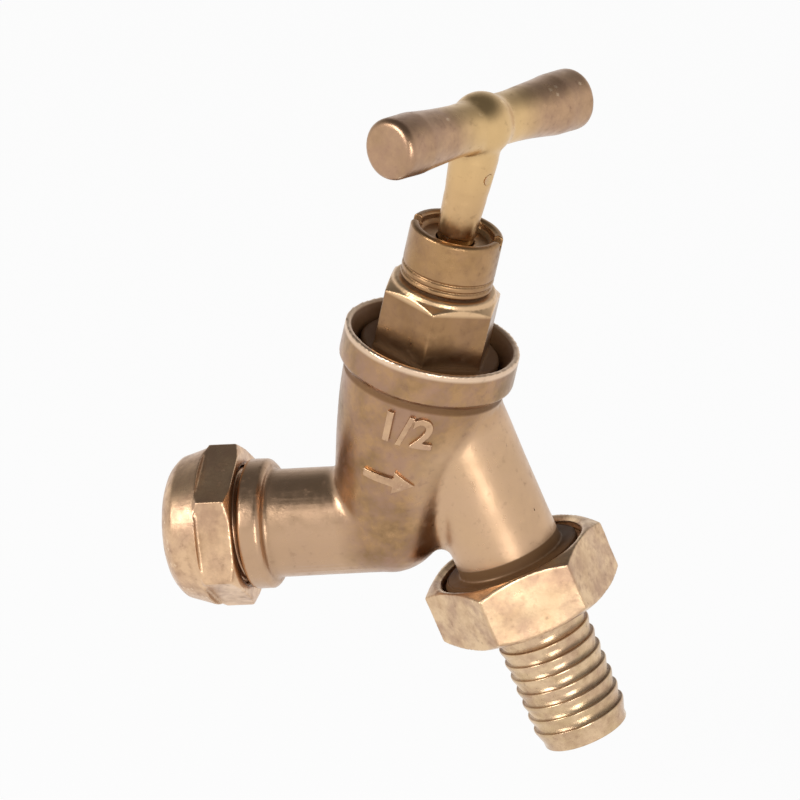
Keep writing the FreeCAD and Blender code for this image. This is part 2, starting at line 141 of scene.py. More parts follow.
class Nodes:
    """A node tree with one way to add a node."""

    def __init__(self, tree: bpy.types.NodeTree) -> None:
        """Empty the tree, ready for its nodes."""
        tree.nodes.clear()
        self.tree = tree

    def node(self, kind: str, inputs: Inputs = None, **settings: Any) -> bpy.types.Node:
        """Add a node, set it up and join its inputs.

        Args:
            kind: the node's Blender type.
            inputs: numbers, colours, Values, sockets or nodes by the socket's name or number.
            settings: its own properties, set before its sockets.

        Returns:
            The new node.
        """
        made = self.tree.nodes.new(kind)
        for name, value in settings.items():
            setattr(made, name, value)
        for name, value in (inputs or {}).items():
            source = value.socket if isinstance(value, Value) else value
            if isinstance(source, bpy.types.Node):
                source = source.outputs[0]
            if isinstance(source, Socket):
                self.tree.links.new(source, made.inputs[name])
            else:
                made.inputs[name].default_value = source
        return made

    def value(self, kind: str, inputs: Inputs = None, output: str | int = 0, **settings: Any) -> Value:
        """Add a node and wrap one of its outputs as a number."""
        return Value(self, self.node(kind, inputs, **settings).outputs[output])


class Shader(Nodes):
    """The node tree of a material or of the world."""

    def place(self) -> Socket:
        """The object's own coordinates, in metres."""
        return self.node("ShaderNodeTexCoord").outputs["Object"]

    def bumped(self, height: Value) -> Socket:
        """The surface's normal under a relief of this height in metres."""
        inputs = {"Strength": 1.0, "Distance": 1.0, "Height": height}
        return self.node("ShaderNodeBump", inputs).outputs[0]

    def end(self, surface: bpy.types.Node) -> None:
        """End a material's tree with its surface."""
        self.node("ShaderNodeOutputMaterial", {"Surface": surface})

    def mix(self, amount: Any, first: Any, second: Any) -> Socket:
        """Blend two colours.

        Args:
            amount: 0 for the first colour, 1 for the second.
            first: a colour or a colour socket.
            second: a colour or a colour socket.

        Returns:
            The blended colour's socket.
        """
        colours = [(*c, 1.0) if isinstance(c, tuple) else c for c in (first, second)]
        made = self.node("ShaderNodeMix", {0: amount, 6: colours[0], 7: colours[1]},
                         data_type="RGBA", clamp_factor=True)
        return made.outputs[2]

    def noise(self, place: Socket, size: float, detail: float = 3.0, rough: float = 0.55) -> Value:
        """Smooth random patches.

        Args:
            place: the coordinates in metres.
            size: the width of a patch in metres.
            detail: octaves of finer noise.
            rough: how strong the finer noise is.

        Returns:
            A value around 0.5.
        """
        inputs = {"Vector": place, "Scale": 1.0 / size, "Detail": detail, "Roughness": rough}
        return self.value("ShaderNodeTexNoise", inputs, "Fac", noise_dimensions="3D")

    def shifted(self, place: Socket, shift: float) -> Socket:
        """The coordinates moved by shift metres, so that a second noise differs from the first."""
        inputs = {0: place, 1: (shift, -shift, shift)}
        return self.node("ShaderNodeVectorMath", inputs, operation="ADD").outputs[0]

    def polar(self, place: Socket, axis: "Axis") -> tuple[Value, Value]:
        """Measure every point from an axis.

        Args:
            place: the coordinates in metres.
            axis: the axis to measure from.

        Returns:
            The distance along the axis and the distance from it, in metres.
        """
        vector = "ShaderNodeVectorMath"
        start = self.node(vector, {0: place, 1: axis.origin}, operation="SUBTRACT")
        along = self.value(vector, {0: start, 1: axis.along}, "Value", operation="DOT_PRODUCT")
        square = self.node(vector, {0: start, 1: axis.along}, operation="CROSS_PRODUCT")
        radius = self.value(vector, {0: square}, "Value", operation="LENGTH")
        return along, radius


def started(name: str) -> tuple[Material, Shader]:
    """Start a node material.

    Args:
        name: the material's name.

    Returns:
        The material and its empty tree.
    """
    made = bpy.data.materials.new(name)
    made.use_nodes = True
    return made, Shader(made.node_tree)


@dataclass(frozen=True)
class Axis:
    """A turning axis of the tap with the directions square to it."""

    origin: Vector
    along: Vector

    @property
    def matrix(self) -> Matrix:
        """The turn and shift from this axis's own frame to the tap's.

        Returns:
            A matrix that takes Z to the axis.
        """
        side = Vector((0.0, 1.0, 0.0))
        forward = side.cross(self.along).normalized()
        turn = Matrix((forward, side, self.along)).transposed().to_4x4()
        return Matrix.Translation(self.origin) @ turn

    def polar(self, place: Vector) -> Pair:
        """The distance along the axis and from it, in millimetres."""
        start = place - self.origin
        return start.dot(self.along) / MM, start.cross(self.along).length / MM


def axis_of(joint_name: str) -> Axis:
    """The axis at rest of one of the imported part's turning joints."""
    joint = next(j for j in frame["joints"] if j["name"] == joint_name)
    return Axis(Vector(joint["pos_m"]), Vector(joint["axis"]).normalized())


class Surface(Enum):
    """How a metal surface was made."""

    CAST = "cast"
    TURNED = "turned"


@dataclass(frozen=True)
class Zone:
    """A part of the surface with a colour of its own, between two levels and two radii of an axis.

    Levels, radii and the soft edge are in millimetres. A zone flagged as painted shade is matt instead of metallic
    and takes the darkest brown: it is shade painted into a recess or a gap.
    """

    axis: Axis
    low: float
    high: float
    inner: float
    outer: float
    colour: Colour
    amount: float = 1.0
    edge: float = 0.5
    painted_shade: bool = False

    def mask(self, shader: Shader, place: Socket) -> Value:
        """How much of the zone's colour each point takes.

        Args:
            shader: the finish's tree.
            place: the coordinates in metres.

        Returns:
            A value from 0 to the zone's amount.
        """
        along, radius = shader.polar(place, self.axis)
        low, high, inner, outer = (v * MM for v in (self.low, self.high, self.inner, self.outer))
        edge = self.edge * MM
        between = along.ranged(low - edge, low) * along.ranged(high, high + edge, 1.0, 0.0)
        around = radius.ranged(inner - edge, inner) * radius.ranged(outer, outer + edge, 1.0, 0.0)
        return between * around * self.amount


@dataclass(frozen=True)
class BrassFinish:
    """Brass as one piece of the tap wears it.

    metal is the colour of the bare metal, tarnish the brown that dulls it and blush the
    pinkish copper that shows in patches. A band is where its mask begins and where it is full: of noise for
    patches and specks, of curvature for worn edges, of open light for the painted shade in inner corners. The
    darkest brown colours real specks and also painted shade, in inner corners and in shade zones. A rise is
    added to the roughness. dense says that the mesh is fine enough for edge wear to follow its curvature.
    """

    name: str
    metal: Colour
    tarnish: Colour
    blush: Colour = (0.42, 0.25, 0.175)
    surface: Surface = Surface.CAST
    roughness: float = 0.30
    roughness_spread: float = 0.16
    tarnish_share: float = 0.7
    tarnish_rise: float = 0.06
    blush_share: float = 0.5
    blush_shift: float = 5.0
    patch: float = 8.0
    patch_band: Pair = (0.42, 0.60)
    mottle: float = 1.5
    mottle_share: float = 0.35
    grain: float = 0.4
    grain_depth: float = 0.014
    wave: float = 4.5
    wave_depth: float = 0.05
    speck_share: float = 0.2
    speck_band: Pair = (0.60, 0.72)
    # Darkest brown: real dark specks, and also painted shade in inner corners and in shade zones.
    grime_and_shade: Colour = (0.150, 0.073, 0.027)
    grime_and_shade_rise: float = 0.35
    # Painted shade in inner corners: how far it looks for open light, how strong it is, its band and samples.
    corner_shade_reach: float = 2.6
    corner_shade_share: float = 0.8
    corner_shade_band: Pair = (0.35, 0.9)
    corner_shade_samples: int = 8
    edge_shine: float = 0.55
    edge_band: Pair = (0.53, 0.60)
    edge_rise: float = -0.08
    shine: Colour = (0.86, 0.64, 0.44)
    coat: float = 0.12
    coat_roughness: float = 0.25
    specular: float = 0.25
    zones: tuple[Zone, ...] = ()
    ring_axis: Axis | None = None
    ring_pitch: float = 0.23
    ring_depth: float = 0.004
    dense: bool = True

    def material(self) -> Material:
        """Build the finish as a node material.

        Returns:
            The material, which reads object coordinates only.
        """
        made, shader = started(self.name)
        place = shader.place()
        mottle = shader.noise(place, self.mottle * MM, detail=4.0, rough=0.62)
        worn = self._patches(shader, place, mottle)
        apart = shader.shifted(place, self.patch * MM * self.blush_shift)
        colour = shader.mix(worn * self.tarnish_share, self.metal, self.tarnish)
        colour = shader.mix(self._patches(shader, apart, mottle) * self.blush_share, colour, self.blush)
        rough = self.roughness + (mottle - 0.5) * self.roughness_spread + worn * self.tarnish_rise
        if self.dense:
            bright = shader.value("ShaderNodeNewGeometry", output="Pointiness").ranged(*self.edge_band)
            colour = shader.mix(bright * self.edge_shine, colour, self.shine)
            rough = rough + bright * self.edge_rise
        # Painted shade in the inner corners, joined below with real dark specks.
        dirt_and_shade = self._corner_shade(shader) * self.corner_shade_share
        specks = mottle.ranged(*self.speck_band, 0.0, self.speck_share)
        dirt_and_shade = dirt_and_shade + specks - dirt_and_shade * specks
        for zone in self.zones:
            mask = zone.mask(shader, place)
            # Zones paint their own colours: some are the brass's own tone, others are painted shade or a painted
            # highlight.
            colour = shader.mix(mask, colour, zone.colour)
            # A zone flagged as painted shade also darkens and goes matt.
            if zone.painted_shade:
                dirt_and_shade = dirt_and_shade + mask - dirt_and_shade * mask
        # Where neither painted shade nor specks lie, the metal stays bare; elsewhere it takes the darkest brown
        # and goes matt.
        clean_and_unshaded = 1.0 - dirt_and_shade
        metal = shader.node("ShaderNodeBsdfPrincipled", {
            "Base Color": shader.mix(dirt_and_shade, colour, self.grime_and_shade), "Metallic": clean_and_unshaded,
            "Roughness": (rough + dirt_and_shade * self.grime_and_shade_rise).clamped(), "Coat Weight": clean_and_unshaded * self.coat,
            "Coat Roughness": self.coat_roughness, "Specular IOR Level": self.specular,
            "Normal": shader.bumped(self._relief(shader, place, mottle))})
        shader.end(metal)
        return made

    def _patches(self, shader: Shader, place: Socket, mottle: Value) -> Value:
        """Soft patches with a mottled edge, from 0 to 1."""
        broad = shader.noise(place, self.patch * MM)
        return (broad * (1.0 - self.mottle_share) + mottle * self.mottle_share).ranged(*self.patch_band)

    def _corner_shade(self, shader: Shader) -> Value:
        """A mask of painted shade in the inner corners, full where little open light reaches them.

        Args:
            shader: the finish's tree.

        Returns:
            0 on open surfaces and 1 deep in a corner.
        """
        reach = {"Distance": self.corner_shade_reach * MM}
        light = shader.value("ShaderNodeAmbientOcclusion", reach, "AO", samples=self.corner_shade_samples,
                             only_local=True)
        return light.ranged(*self.corner_shade_band, 1.0, 0.0)

    def _relief(self, shader: Shader, place: Socket, mottle: Value) -> Value:
        """Soft waves, the casting's grain, and the fine rings of the lathe.

        Args:
            shader: the finish's tree.
            place: the coordinates in metres.
            mottle: the mottled noise, which adds to the grain.

        Returns:
            The height in metres.
        """
        waves = shader.noise(place, self.wave * MM, detail=1.0)
        grain = shader.noise(place, self.grain * MM, detail=2.0)
        height = waves * (self.wave_depth * MM) + (grain + mottle) * (self.grain_depth * MM)
        if self.surface is not Surface.TURNED or self.ring_axis is None:
            return height
        along, _radius = shader.polar(place, self.ring_axis)
        rings = (along * (2.0 * math.pi / (self.ring_pitch * MM))).sine()
        return height + rings * (self.ring_depth * MM)


@dataclass(frozen=True)
class PlainFinish:
    """A finish that isn't metal: rubber, fibre or packing. Sizes are in millimetres."""

    name: str
    colour: Colour
    stain: Colour
    roughness: float
    roughness_spread: float = 0.2
    stain_band: Pair = (0.35, 0.7)
    grain: float = 0.6
    grain_depth: float = 0.03

    def material(self) -> Material:
        """Build the finish as a node material.

        Returns:
            The material.
        """
        made, shader = started(self.name)
        grain = shader.noise(shader.place(), self.grain * MM, detail=4.0, rough=0.65)
        rough = self.roughness + (grain - 0.5) * self.roughness_spread
        skin = shader.node("ShaderNodeBsdfPrincipled", {
            "Base Color": shader.mix(grain.ranged(*self.stain_band), self.colour, self.stain),
            "Roughness": rough.clamped(), "Normal": shader.bumped(grain * (self.grain_depth * MM))})
        shader.end(skin)
        return made


class Pattern(Nodes):
    """A geometry tree with named inputs for its sizes."""

    def __init__(self, name: str, sizes: dict[str, str]) -> None:
        """Start the tree with its inputs.

        Args:
            name: what the tree makes.
            sizes: the socket type of each named input.
        """
        super().__init__(bpy.data.node_groups.new(name, "GeometryNodeTree"))
        face = self.tree.interface
        face.new_socket("Shape", in_out="OUTPUT", socket_type="NodeSocketGeometry")
        face.new_socket("Shape", in_out="INPUT", socket_type="NodeSocketGeometry")
        sizes = {**sizes, "Finish": "NodeSocketMaterial"}
        self.sockets = {
            label: face.new_socket(label, in_out="INPUT", socket_type=kind).identifier
            for label, kind in sizes.items()}
        self.given = self.node("NodeGroupInput")

    def size(self, label: str) -> Value:
        """One of the named sizes."""
        return Value(self, self.given.outputs[label])

    def close(self, shape: bpy.types.Node) -> None:
        """End the tree: real geometry, joined where it meets, with its finish.

        Args:
            shape: the node whose output is the geometry so far.
        """
        real = self.node("GeometryNodeRealizeInstances", {"Geometry": shape})
        welded = self.node("GeometryNodeMergeByDistance", {"Geometry": real, "Distance": JOIN_GAP})
        finish = {"Geometry": welded, "Material": self.given.outputs["Finish"]}
        self.node("NodeGroupOutput", {0: self.node("GeometryNodeSetMaterial", finish)})

    def make(self, name: str, start: Piece, sizes: dict[str, Any]) -> Piece:
        """Run the tree on an object and keep the result as a plain mesh.

        Args:
            name: the new piece's name.
            start: the object that the tree is given. It is used up.
            sizes: a value for each named input.

        Returns:
            The new piece.
        """
        modifier = start.modifiers.new(name, "NODES")
        modifier.node_group = self.tree
        for label, amount in sizes.items():
            modifier[self.sockets[label]] = amount
        return plain(start, name)


def linked(name: str, data: bpy.types.ID) -> Piece:
    """Put a mesh, curve, lamp or camera in the scene.

    Args:
        name: the new object's name.
        data: what it shows.

    Returns:
        The object, at the origin.
    """
    made = bpy.data.objects.new(name, data)
    bpy.context.scene.collection.objects.link(made)
    return made


def plain(source: Piece, name: str) -> Piece:
    """Turn an object with modifiers into a plain mesh object that shades smoothly.

    Args:
        source: the object. It is used up.
        name: the new object's name.

    Returns:
        The new object, with no modifiers.
    """
    bpy.context.view_layer.update()
    graph = bpy.context.evaluated_depsgraph_get()
    mesh = bpy.data.meshes.new_from_object(source.evaluated_get(graph))
    mesh.shade_smooth()
    bpy.data.objects.remove(source)
    return linked(name, mesh)


def merged(mesh: Mesh, outward: bool = False) -> Mesh:
    """Join a mesh's doubled points.

    Args:
        mesh: the mesh to mend.
        outward: also turn its faces outwards.

    Returns:
        The same mesh.
    """
    work = bmesh.new()
    work.from_mesh(mesh)
    bmesh.ops.remove_doubles(work, verts=work.verts, dist=DOUBLE_GAP)
    if outward:
        bmesh.ops.recalc_face_normals(work, faces=work.faces)
    work.to_mesh(mesh)
    work.free()
    return mesh


def rounded(corners: list[Corner], steps: int = 4, reach: float = 0.45) -> Outline:
    """Round the corners of an outline.

    Args:
        corners: each corner's radius, level and rounding, in millimetres. The two ends aren't rounded.
        steps: straight pieces in each round corner.
        reach: the share of a side that a rounding may take.

    Returns:
        The points of the outline as radius and level.
    """
    points: Outline = []
    last = len(corners) - 1
    for k, (r, z, size) in enumerate(corners):
        here = Vector((r, z))
        if size <= 0.0 or k in (0, last):
            points.append((r, z))
            continue
        before = Vector(corners[k - 1][:2]) - here
        after = Vector(corners[k + 1][:2]) - here
        start = here + before.normalized() * min(size, before.length * reach)
        end = here + after.normalized() * min(size, after.length * reach)
        for step in range(steps + 1):
            t = step / steps
            spot = start * (1.0 - t) ** 2 + here * (2.0 * t * (1.0 - t)) + end * t ** 2
            points.append((spot.x, spot.y))
    return points


def lathe(name: str, outline: Outline, steps: int = 180) -> Piece:
    """Turn an open outline round the Z axis.

    Args:
        name: the new object's name.
        outline: radius and level of each point, in millimetres.
        steps: faces round the axis.

    Returns:
        The open skin.
    """
    points = []
    for step in range(steps):
        angle = 2.0 * math.pi * step / steps
        points += [(r * MM * math.cos(angle), r * MM * math.sin(angle), z * MM) for r, z in outline]
    count = len(outline)
    faces = []
    for step in range(steps):
        here, there = step * count, (step + 1) % steps * count
        faces += [(here + k, there + k, there + k + 1, here + k + 1) for k in range(count - 1)]
    mesh = bpy.data.meshes.new(name)
    mesh.from_pydata(points, [], faces)
    return linked(name, mesh)


def joined(name: str, parts: list[Piece]) -> Piece:
    """Join parts of one piece into a closed mesh that shades smoothly.

    Args:
        name: the piece's name.
        parts: its parts, which are used up.

    Returns:
        The piece.
    """
    work = bmesh.new()
    for part in parts:
        work.from_mesh(part.data)
        bpy.data.objects.remove(part)
    bmesh.ops.remove_doubles(work, verts=work.verts, dist=JOIN_GAP)
    bmesh.ops.recalc_face_normals(work, faces=work.faces)
    mesh = bpy.data.meshes.new(name)
    work.to_mesh(mesh)
    work.free()
    mesh.shade_smooth()
    return linked(name, mesh)


def modified(piece: Piece, kind: str, **settings: Any) -> None:
    """Add a modifier to a piece.

    Args:
        piece: the piece.
        kind: the modifier's Blender type.
        settings: its own properties.
    """
    made = piece.modifiers.new(kind.lower(), kind)
    for name, value in settings.items():
        setattr(made, name, value)


@dataclass(frozen=True)
class Skin:
    """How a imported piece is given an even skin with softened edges. Sizes are in millimetres.

    rounds are the smoothing passes everywhere and soft_rounds those at soft places. keep is the share of
    triangles kept, unevenness how far the surface swells and sinks, and swell the width of a swell.
    """

    voxel: float
    rounds: int = 4
    soft_rounds: int = 0
    keep: float = 1.0
    unevenness: float = 0.0
    swell: float = 6.0

    def over(self, node: str, *cutters: Piece, softness: Softness | None = None) -> Piece:
        """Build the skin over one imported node.

        Args:
            node: the node's name.
            cutters: solids that are cut away first. They are used up.
            softness: how soft each place is, from 0 to 1.

        Returns:
            The new piece, named after the node.
        """
        made = linked("copy", merged(frame["nodes"][node].data.copy()))
        for cutter in cutters:
            modified(made, "BOOLEAN", operation="DIFFERENCE", solver="EXACT", object=cutter)
        modified(made, "REMESH", mode="VOXEL", voxel_size=self.voxel * MM)
        made = plain(made, "even")
        for cutter in cutters:
            bpy.data.objects.remove(cutter)
        self._soften(made, softness)
        made = plain(made, node + "_skin")
        if self.unevenness > 0.0:
            self._swell(made.data)
        log.info("%s has %d faces", made.name, len(made.data.polygons))
        return made

    def _soften(self, made: Piece, softness: Softness | None) -> None:
        """Add the passes that round the edges.

        Args:
            made: the even skin.
            softness: how soft each place is, where the passes everywhere aren't enough.
        """
        modified(made, "SMOOTH", iterations=self.rounds)
        if softness is not None:
            group = made.vertex_groups.new(name="soft")
            for vertex in made.data.vertices:
                weight = softness(vertex.co)
                if weight > 0.0:
                    group.add([vertex.index], weight, "REPLACE")
            modified(made, "SMOOTH", iterations=self.soft_rounds, vertex_group=group.name)
        if self.keep < 1.0:
            modified(made, "DECIMATE", ratio=self.keep)

    def _swell(self, mesh: Mesh) -> None:
        """Move the surface in and out by soft noise.

        Args:
            mesh: the skin's mesh.
        """
        moved: list[float] = []
        for vertex in mesh.vertices:
            amount = noise.noise(vertex.co / (self.swell * MM)) * self.unevenness * MM
            moved.extend(vertex.co + vertex.normal * amount)
        mesh.vertices.foreach_set("co", moved)
        mesh.update()


@dataclass
class Assembly:
    """A group of the tap's pieces with the finishes that they take."""

    materials: dict[str, Material]
    head: Axis
    spout: Axis
    inlet: Axis

    def settle(self, piece: Piece, body: str, slot: str, *nodes: str, finish: str = "") -> None:
        """Hand a finished piece over.

        Args:
            piece: the piece, in its place.
            body: the body that carries it.
            slot: the record's slot that its finish belongs to.
            nodes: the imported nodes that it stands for.
            finish: its own finish, where that isn't the slot's.
        """
        piece.data.materials.clear()
        piece.data.materials.append(self.materials[finish or slot])
        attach(piece, body)
        if nodes:
            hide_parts(*nodes)
        log.info("%s rides on %s as %s", piece.name, body, slot)


def thread_pattern() -> Pattern:
    """The tree of a screw thread: a closed sleeve whose ridge fades out at both ends.

    The sleeve is a grid. Its rows run along the outside for outward_share of them and back inside.

    Returns:
        The tree, with its sizes in metres and its start level on Z.
    """
    labels = ("Core Radius", "Root Radius", "Depth", "Pitch", "Start", "Length")
    columns, rows = 145, 81
    outward_share, turning_gap = 0.9, 0.001
    fade_turns, flank, end_steps = (0.15, 0.8), (0.15, 0.85), 30.0
    tree = Pattern("screw_thread", {label: "NodeSocketFloat" for label in labels})
    core, root, depth, pitch, start, length = (tree.size(label) for label in labels)
    grid = tree.node("GeometryNodeMeshGrid", {
        "Size X": 1.0, "Size Y": 1.0, "Vertices X": columns, "Vertices Y": rows})
    split = tree.node("ShaderNodeSeparateXYZ", {0: tree.node("GeometryNodeInputPosition")})
    around = Value(tree, split.outputs[0]) + 0.5
    passed = Value(tree, split.outputs[1]) + 0.5
    run = (passed / outward_share).least((1.0 - passed) / (1.0 - outward_share))
    outer = 1.0 - (passed > outward_share + turning_gap)
    turns = run * length / pitch
    fade = turns.least((1.0 - run) * length / pitch).ranged(*fade_turns)
    edge = (run * end_steps).least((1.0 - run) * end_steps).clamped()
    ridge = (turns - around).zigzag().ranged(*flank)
    radius = core + outer * ((root - core) * edge + depth * ridge * fade)
    angle = around * (2.0 * math.pi)
    spot = tree.node("ShaderNodeCombineXYZ", {
        0: radius * angle.cosine(), 1: radius * angle.sine(), 2: start + run * length})
    tree.close(tree.node("GeometryNodeSetPosition", {"Geometry": grid, "Position": spot}))
    return tree


@dataclass(frozen=True)
class Thread:
    """An outside pipe thread on one of the body's ends. Sizes in millimetres."""

    name: str
    major_r: float
    start: float
    length: float
    pitch: float = 1.814
    depth: float = 1.0
    core_gap: float = 0.25
    cut_deeper: float = 0.1
    cut_wider: float = 1.0
    cut_longer: float = 0.05

    @property
    def root_r(self) -> float:
        """The radius at the bottom of the thread."""
        return self.major_r - self.depth

    def cutter(self, axis: Axis) -> Piece:
        """Make the ring that leaves only the thread's core on the body.

        Args:
            axis: the axis of the body's end.

        Returns:
            The closed ring in its place.
        """
        near, far = self.root_r - self.cut_deeper, self.major_r + self.cut_wider
        low, high = self.start - self.cut_longer, self.start + self.length + self.cut_longer
        square = [(near, low), (far, low), (far, high), (near, high), (near, low)]
        ring = lathe("cutter", square, steps=96)
        ring.data.transform(axis.matrix)
        merged(ring.data, outward=True)
        return ring

    def build(self, axis: Axis, tree: Pattern, material: Material) -> Piece:
        """Make the thread.

        Args:
            axis: the axis of the body's end.
            tree: the screw thread's tree.
            material: the body's finish.

        Returns:
            The closed sleeve in its place.
        """
        start = linked("start", bpy.data.meshes.new("start"))
        sizes = {
            "Core Radius": (self.root_r - self.core_gap) * MM, "Root Radius": self.root_r * MM,
            "Depth": self.depth * MM, "Pitch": self.pitch * MM, "Start": self.start * MM,
            "Length": self.length * MM, "Finish": material}
        made = tree.make(self.name, start, sizes)
        made.data.transform(axis.matrix)
        merged(made.data, outward=True)
        return made


@dataclass
class BodyCasting(Assembly):
    """The cast body with its two threads and the raised marks on its flank. Sizes in millimetres."""

    skin: Skin = Skin(voxel=0.3, rounds=6, keep=0.5, unevenness=0.10)
    outlet_thread: Thread = Thread("outlet_thread", major_r=13.2, start=38.6, length=4.7)
    inlet_thread: Thread = Thread("inlet_thread", major_r=10.4, start=-6.4, length=7.3, depth=0.8)
    mark_height: float = 0.6
    mark_sunk: float = 0.5
    mark_voxel: float = 0.11
    mark_rounds: int = 6
    mark_reach: float = 10.0
    text_size: float = 8.0
    text_weight: float = 0.22
    size_mark: str = "1/2"
    size_mark_px: Pair = (405.0, 432.0)
    arrow_px: Pair = (388.0, 480.0)
    arrow_length: float = 9.5
    arrow_head: float = 3.8
    arrow_half_shaft: float = 0.8
    arrow_half_head: float = 2.3

    def build(self, view: "Studio") -> None:
        """Make the casting and what stands on it.

        Args:
            view: the studio, whose camera gives the marks' places.
        """
        ends = ((self.outlet_thread, self.spout), (self.inlet_thread, self.inlet))
        casting = self.skin.over("tap_body", *(thread.cutter(axis) for thread, axis in ends))
        self.settle(casting, "body", "body_casting", "tap_body")
        tree, brass = thread_pattern(), self.materials["body_casting"]
        for thread, axis in ends:
            self.settle(thread.build(axis, tree, brass), "body", "body_casting")
        for name, mesh, pixel in (("size_mark", self._figures(), self.size_mark_px),
                                  ("flow_arrow", self._arrow(), self.arrow_px)):
            mark = self._raised(name, mesh, pixel, casting, view)
            self.settle(mark, "body", "body_casting", finish="mark_brass")

    def _figures(self) -> Mesh:
        """Draw the pipe size.

        Returns:
            Flat figures about the origin.
        """
        curve = bpy.data.curves.new("figures", "FONT")
        curve.body = self.size_mark
        curve.size = self.text_size * MM
        curve.align_x, curve.align_y = "CENTER", "CENTER"
        curve.offset = self.text_weight * MM
        flat = plain(linked("figures", curve), "flat")
        mesh = flat.data
        bpy.data.objects.remove(flat)
        return mesh

    def _arrow(self) -> Mesh:
        """Draw the arrow that shows the way of the water.

        Returns:
            A flat arrow about the origin.
        """
        shaft, head = self.arrow_half_shaft, self.arrow_half_head
        tip, tail = self.arrow_length / 2.0, -self.arrow_length / 2.0
        neck = tip - self.arrow_head
        corners = [(tail, -shaft), (neck, -shaft), (neck, -head), (tip, 0.0),
                   (neck, head), (neck, shaft), (tail, shaft)]
        mesh = bpy.data.meshes.new("arrow")
        mesh.from_pydata([(x * MM, y * MM, 0.0) for x, y in corners], [], [tuple(range(len(corners)))])
        return mesh

    def _raised(self, name: str, flat: Mesh, pixel: Pair, casting: Piece, view: "Studio") -> Piece:
        """Stand a flat shape out of the casting, soft-edged as a cast mark is.

        Args:
            name: the new piece's name.
            flat: the shape about the origin, facing +Z.
            pixel: where its middle shows in the photograph.
            casting: the surface that it stands on.
            view: the studio, whose camera looks through the pixel.

        Returns:
            The mark.
        """
        start, sight = view.sight(pixel)
        _hit, spot, normal, _face = casting.ray_cast(start, sight)
        upright = (self.head.along - normal * self.head.along.dot(normal)).normalized()
        place = Matrix((upright.cross(normal), upright, normal)).transposed().to_4x4()
        place = Matrix.Translation(spot) @ place
        work = bmesh.new()
        work.from_mesh(flat)
        bmesh.ops.triangulate(work, faces=work.faces)
        bmesh.ops.subdivide_edges(work, edges=work.edges, cuts=3, use_grid_fill=True)
        lower = list(work.verts)
        top = bmesh.ops.extrude_face_region(work, geom=list(work.faces))["geom"]
        upper = [item for item in top if isinstance(item, bmesh.types.BMVert)]
        for verts, height in ((lower, -self.mark_sunk), (upper, self.mark_height)):
            for vert in verts:
                above = place @ vert.co + normal * (self.mark_reach * MM)
                struck, on_skin, _normal, _face = casting.ray_cast(above, -normal)
                vert.co = (on_skin if struck else place @ vert.co) + normal * (height * MM)
        bmesh.ops.recalc_face_normals(work, faces=work.faces)
        mesh = bpy.data.meshes.new(name)
        work.to_mesh(mesh)
        work.free()
        made = linked("mark", mesh)
        modified(made, "REMESH", mode="VOXEL", voxel_size=self.mark_voxel * MM)
        modified(made, "SMOOTH", iterations=self.mark_rounds)
        return plain(made, name)


@dataclass
class Headwork(Assembly):
    """Bonnet and gland nut in the collar."""

    bonnet_skin: Skin = Skin(voxel=0.24, rounds=3)
    gland_skin: Skin = Skin(voxel=0.16, rounds=3)

    def build(self) -> None:
        """Give the bonnet and the gland nut soft edges."""
        self.settle(self.bonnet_skin.over("bonnet"), "body", "bonnet_brass", "bonnet")
        self.settle(self.gland_skin.over("gland_nut"), "body", "gland_brass", "gland_nut")


@dataclass
class Handle(Assembly):
    """The crutch handle, whose hub runs softly into the bar and the shank. Sizes in millimetres."""

    skin: Skin = Skin(voxel=0.3, rounds=3, soft_rounds=45, unevenness=0.12)
    hub_reach: float = 11.0
    hub_fade: float = 3.0
    shank_low: float = 27.0
    pin_level: float = 32.0
    pin_reach: float = 3.0

    def build(self) -> None:
        """Make the handle's casting."""
        handle = self.skin.over("crutch_handle", softness=self._softness)
        self.settle(handle, "spindle", "handle_casting", "crutch_handle")

    def _softness(self, place: Vector) -> float:
        """Where the casting's hub blends into its bar, but not at the pin's hole.

        Args:
            place: a point of the handle.

        Returns:
            0 where the shape stays crisp, up to 1 where it is softest.
        """
        along, radius = self.head.polar(place)
        if along < self.shank_low or abs(along - self.pin_level) < self.pin_reach:
            return 0.0
        return max(0.0, min(1.0, (self.hub_reach - radius) / self.hub_fade))


